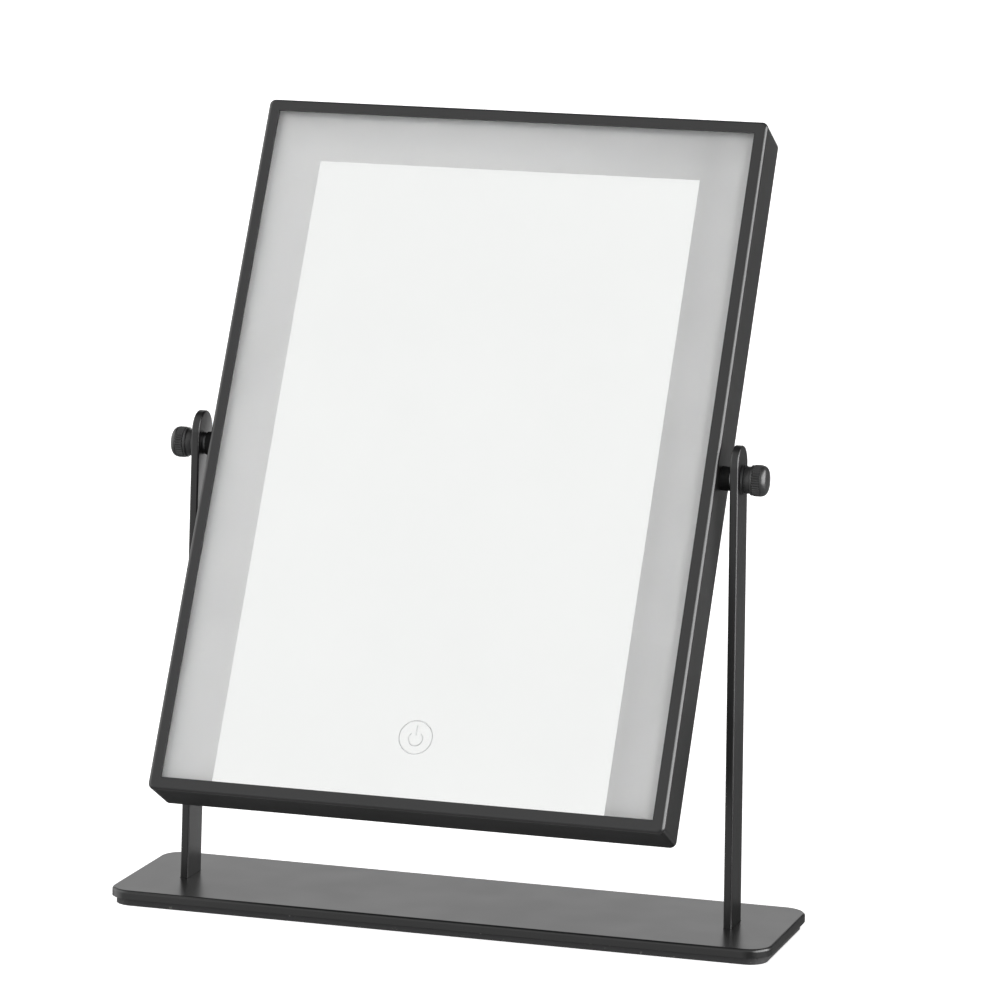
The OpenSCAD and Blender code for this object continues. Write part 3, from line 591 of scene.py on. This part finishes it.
# ---------------------------------------------------------------- control board
# A small glass-fibre board under green solder mask, with moulded black parts.
# It is screwed on nylon spacers to the chassis floor.
board_face = Finish("board_solder_mask", Roughness=0.38)
board_face.turned(flat_place, flat_turn)
board_tracks = board_face.tree.nodes.new("ShaderNodeTexVoronoi")
board_tracks.feature, board_tracks.distance = "DISTANCE_TO_EDGE", "MANHATTAN"
board_tracks.inputs["Scale"].default_value = 210.0
board_face.tree.links.new(board_face.coords, board_tracks.inputs["Vector"])
board_lines = board_face.spread(board_tracks.outputs["Distance"], 1, 0, 0.04, 0.08)
board_face.sets("Base Color", board_face.mix(board_lines, (0.008, 0.07, 0.03), (0.02, 0.16, 0.06)))
board_face.raises(board_lines, 2e-5)
coats(board_face.mat, "control_board")

moulded = Finish("moulded_black", IOR=1.52)
moulded.sets("Base Color", moulded.tint(moulded.grain(120, 4), (0.012, 0.012, 0.013), (0.022, 0.022, 0.024)))
moulded.sets("Roughness", moulded.spread(moulded.grain(700, 3), 0.36, 0.52))
moulded.raises(moulded.grain(2400, 3), 8e-6)
coats(moulded.mat, "board_parts")

white_nylon = Finish("white_nylon", Subsurface_Weight=0.15, IOR=1.53)
white_nylon.sets("Base Color", white_nylon.tint(white_nylon.grain(200, 3), (0.72, 0.71, 0.68),
                                                (0.8, 0.79, 0.76)))
white_nylon.sets("Roughness", white_nylon.spread(white_nylon.grain(900, 3), 0.4, 0.55))
coats(white_nylon.mat, "board_spacers")
coats(zinc, "board_screws")

# ---------------------------------------------------------------- power inlet and leads
# A round low-voltage inlet of moulded plastic, held to the back cover by its nut.
# Thin PVC leads run between inlet, board, sensor and strips.
inlet_skin = Finish("inlet_moulding", IOR=1.52)
inlet_skin.sets("Base Color", inlet_skin.tint(inlet_skin.grain(150, 4), (0.010, 0.010, 0.011),
                                              (0.018, 0.018, 0.02)))
inlet_skin.sets("Roughness", inlet_skin.spread(inlet_skin.grain(600, 3), 0.22, 0.34))
inlet_skin.raises(inlet_skin.grain(1900, 3), 5e-6)
coats(inlet_skin.mat, "power_inlet")
coats(plating("inlet_nut_plating", 0.6, 0.3), "inlet_nut")


def lead_sheath(name, dark, light):
    """Soft PVC insulation, slightly dulled and uneven."""
    f = Finish(name, IOR=1.53)
    f.sets("Base Color", f.tint(f.grain(170, 3), dark, light))
    f.sets("Roughness", f.spread(f.grain(420, 4), 0.34, 0.5))
    f.raises(f.grain(1300, 2), 1.2e-5)
    return f.mat


coats(lead_sheath("red_lead", (0.30, 0.015, 0.012), (0.42, 0.025, 0.02)), "inlet_lead")
coats(lead_sheath("white_lead", (0.66, 0.66, 0.63), (0.76, 0.76, 0.73)), "led_lead", "strip_links")
coats(lead_sheath("grey_lead", (0.05, 0.05, 0.055), (0.08, 0.08, 0.088)), "touch_lead")

# ---------------------------------------------------------------- back cover
# A flat aluminium sheet, coated like the frame, on six zinc-plated standoffs.
# Blackened pan-head screws hold it on them.
coats(powder_coat("cover_powder_coat", 0.014, 0.36, 7e-6), "back_cover")
coats(zinc, "cover_standoffs")

cover_head_r, cover_head_h, cover_shank_r, cover_len = 0.0028, 0.0016, 0.00145, 0.0046
cross_w, cross_l, cross_h = 0.0008, 0.003, 0.0009
cover_back, cover_screw_x, cover_screw_y = 0.024, 0.111, 0.161
black_steel = Finish("blackened_steel", Metallic=0.85)
black_steel.sets("Base Color", black_steel.tint(black_steel.grain(500, 4), (0.035, 0.035, 0.037),
                                                (0.06, 0.06, 0.062)))
black_steel.sets("Roughness", black_steel.spread(black_steel.grain(1500, 3), 0.32, 0.5))
black_steel.raises(black_steel.grain(2800, 3), 5e-6)
cover_screw = turned_shape("cover_screw", [
    (0, -cover_len), (cover_shank_r - 0.0004, -cover_len), (cover_shank_r, -cover_len + 0.0004),
    (cover_shank_r, 0), (cover_head_r - 0.0001, 0), (cover_head_r, 0.0001),
    (cover_head_r, cover_head_h * 0.4),
    (cover_head_r * 0.93, cover_head_h * 0.68), (cover_head_r * 0.76, cover_head_h * 0.88),
    (cover_head_r * 0.5, cover_head_h * 0.98), (0, cover_head_h)], 36)
bars = []
for turn in (0, 90):
    bar = prism("cross_bar", [(-cross_l / 2, -cross_w / 2), (cross_l / 2, -cross_w / 2),
                              (cross_l / 2, cross_w / 2), (-cross_l / 2, cross_w / 2)],
                cover_head_h - cross_h, cover_head_h + 0.001)
    bar.data.transform(Matrix.Rotation(math.radians(turn), 4, "Z"))
    bars.append(bar)
cut_out(cover_screw, *bars)
cover_spots = [(x * cover_screw_x, y * cover_screw_y, 0) for x in (-1, 1) for y in (-1, 0, 1)]
set_out("cover_screw_set", cover_screw, black_steel.mat, cover_spots, any_turn,
        head_frame @ Matrix.Translation((0, 0, -cover_back)) @ Matrix.Rotation(math.pi, 4, "X"),
        "head", "cover_screws")
dropped(cover_screw)

# ---------------------------------------------------------------- tilt pivots
# On each side a black nylon spacer and a thin plated washer stand between frame and post.
# They sit round a threaded steel stud, which is fixed in the knob.
nylon = Finish("black_nylon", IOR=1.35)
# painted shade: the spacer's colour is set darker than black nylon, standing in for the shade in the gap
# between frame and post
nylon.sets("Base Color", nylon.tint(nylon.grain(180, 3), (0.0015,) * 3, (0.004,) * 3))
nylon.sets("Roughness", nylon.spread(nylon.grain(800, 3), 0.6, 0.75))
nylon.raises(nylon.grain(260, 1, (1, 0.02, 0.02)), 1.5e-5)
coats(nylon.mat, "spacer_left", "spacer_right")
coats(plating("washer_plating", 0.3, 0.34, (1, 0.05, 0.05)), "pivot_washer_left", "pivot_washer_right")

thread_pitch = 0.0008
stud_steel = Finish("threaded_steel", Metallic=1.0)
thread = stud_steel.tree.nodes.new("ShaderNodeTexWave")
thread.wave_type, thread.bands_direction, thread.wave_profile = "BANDS", "X", "TRI"
# at scale 1 a band pattern repeats every 2 pi / 20
thread.inputs["Scale"].default_value = 1 / thread_pitch / 20 * math.pi * 2
stud_steel.tree.links.new(stud_steel.coords, thread.inputs["Vector"])
stud_steel.sets("Base Color", stud_steel.tint(stud_steel.grain(600, 3), (0.45, 0.45, 0.46), (0.6, 0.6, 0.61)))
stud_steel.sets("Roughness", stud_steel.spread(stud_steel.grain(1200, 3), 0.26, 0.4))
stud_steel.raises(thread.outputs["Fac"], 2.5e-4)
coats(stud_steel.mat, "stud_left", "stud_right")

# ---------------------------------------------------------------- collars
# Turned steel collars, coated black.
# They lie loose round the studs, and the knobs press them against the posts.
coats(powder_coat("collar_coat", 0.024, 0.30, 4e-6), "collar_left", "collar_right")

# ---------------------------------------------------------------- thumb knobs
# Turned black knobs with a neck, a plain ring, a straight knurl and a domed end.
# Each is fixed on its stud.
neck_r, ring_r, knurl_r, root_r, round_r, rib_count = 0.0064, 0.00715, 0.0074, 0.00698, 0.0031, 36
ring_from_end, ring_w, bore_r, bore_len = 0.0081, 0.0013, 0.00251, 0.006
knob_coat = powder_coat("knob_coat", 0.026, 0.34, 3e-6)


def knob(side, body, replaced):
    """One knob about the tilt axis, built about z from its inner face and laid on its side's axis."""
    low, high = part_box(replaced)
    inner = min(abs(low[0]), abs(high[0]))
    length = max(abs(low[0]), abs(high[0])) - inner
    ring_at, knurl_end = length - ring_from_end, length - round_r
    knurl_at = ring_at + ring_w
    ease = 0.00025
    dome = [(knurl_r - round_r + (round_r - 0.0001) * math.cos(math.radians(d)),
             knurl_end + (round_r - 0.0003) * math.sin(math.radians(d)))
            for d in (4, 12, 22, 34, 46, 58, 70, 80)]
    dome += [(0.0034, length - 0.0002), (0.0024, length - 0.0001), (0.0012, length - 0.00002)]
    profile = [(0, bore_len), (bore_r, bore_len), (bore_r, 0), (neck_r - ease, 0), (neck_r, ease),
               (neck_r, ring_at - 0.0001), (neck_r, ring_at), (ring_r - ease, ring_at),
               (ring_r, ring_at + ease),
               (ring_r, knurl_at - ease), (ring_r - ease, knurl_at), (root_r - 0.0002, knurl_at),
               (root_r, knurl_at + 0.0001), (root_r, knurl_end - 0.0001),
               (knurl_r - 0.0003, knurl_end)] + dome + [(0, length)]
    core = turned_shape("knob_core_" + side, profile, 144)
    rib_len = knurl_end - knurl_at
    half = math.pi * knurl_r / rib_count
    rib_foot, rib_shoulder, rib_top = half * 0.86, half * 0.36, half * 0.2
    rib_in, shoulder_r = root_r - 0.0003, knurl_r - 0.00008
    rib = prism("rib", [(rib_in, -rib_foot), (root_r, -rib_foot), (shoulder_r, -rib_shoulder),
                        (knurl_r, -rib_top), (knurl_r, rib_top), (shoulder_r, rib_shoulder),
                        (root_r, rib_foot), (rib_in, rib_foot)], knurl_at, knurl_end)
    # the rib's outer edges are drawn in at both ends
    for vertex in rib.data.vertices:
        if vertex.co.x > root_r + 1e-5:
            vertex.co.z += ease if vertex.co.z < knurl_at + rib_len / 2 else -0.0001
    mesh = bpy.data.meshes.new("knob_" + side)
    piece = bpy.data.objects.new("thumb_knob_" + side, mesh)
    bpy.context.collection.objects.link(piece)
    tree = bpy.data.node_groups.new("knurl_" + side, "GeometryNodeTree")
    tree.interface.new_socket("Geometry", in_out="INPUT", socket_type="NodeSocketGeometry")
    core_socket = tree.interface.new_socket("Core", in_out="INPUT", socket_type="NodeSocketObject")
    rib_socket = tree.interface.new_socket("Rib", in_out="INPUT", socket_type="NodeSocketObject")
    count_socket = tree.interface.new_socket("Rib count", in_out="INPUT", socket_type="NodeSocketInt")
    step_socket = tree.interface.new_socket("Rib step", in_out="INPUT", socket_type="NodeSocketFloat")
    tree.interface.new_socket("Geometry", in_out="OUTPUT", socket_type="NodeSocketGeometry")
    start, end = tree.nodes.new("NodeGroupInput"), tree.nodes.new("NodeGroupOutput")
    core_shape = tree.nodes.new("GeometryNodeObjectInfo")
    rib_shape = tree.nodes.new("GeometryNodeObjectInfo")
    row = tree.nodes.new("GeometryNodePoints")
    number = tree.nodes.new("GeometryNodeInputIndex")
    step = tree.nodes.new("ShaderNodeMath")
    step.operation = "MULTIPLY"
    around = tree.nodes.new("ShaderNodeCombineXYZ")
    place = tree.nodes.new("GeometryNodeInstanceOnPoints")
    both = tree.nodes.new("GeometryNodeJoinGeometry")
    real = tree.nodes.new("GeometryNodeRealizeInstances")
    paint = tree.nodes.new("GeometryNodeSetMaterial")
    paint.inputs["Material"].default_value = knob_coat
    link = tree.links.new
    link(start.outputs["Core"], core_shape.inputs["Object"])
    link(start.outputs["Rib"], rib_shape.inputs["Object"])
    link(start.outputs["Rib count"], row.inputs["Count"])
    link(number.outputs["Index"], step.inputs[0])
    link(start.outputs["Rib step"], step.inputs[1])
    link(step.outputs["Value"], around.inputs["Z"])
    link(row.outputs["Points"], place.inputs["Points"])
    link(rib_shape.outputs["Geometry"], place.inputs["Instance"])
    link(around.outputs["Vector"], place.inputs["Rotation"])
    link(place.outputs["Instances"], both.inputs["Geometry"])
    link(core_shape.outputs["Geometry"], both.inputs["Geometry"])
    link(both.outputs["Geometry"], real.inputs["Geometry"])
    link(real.outputs["Geometry"], paint.inputs["Geometry"])
    link(paint.outputs["Geometry"], end.inputs["Geometry"])
    knurl = piece.modifiers.new("knurl", "NODES")
    knurl.node_group = tree
    knurl[core_socket.identifier] = core
    knurl[rib_socket.identifier] = rib
    knurl[count_socket.identifier] = rib_count
    knurl[step_socket.identifier] = 2 * math.pi / rib_count
    settled(piece)
    sign = -1 if side == "left" else 1
    piece.data.transform(Matrix.Translation((sign * inner, 0, pivot_z))
                         @ Matrix.Rotation(sign * math.pi / 2, 4, "Y"))
    dropped(core, rib)
    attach(piece, body)
    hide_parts(replaced)


for side in ("left", "right"):
    knob(side, "knob_%s_body" % side, "knob_" + side)
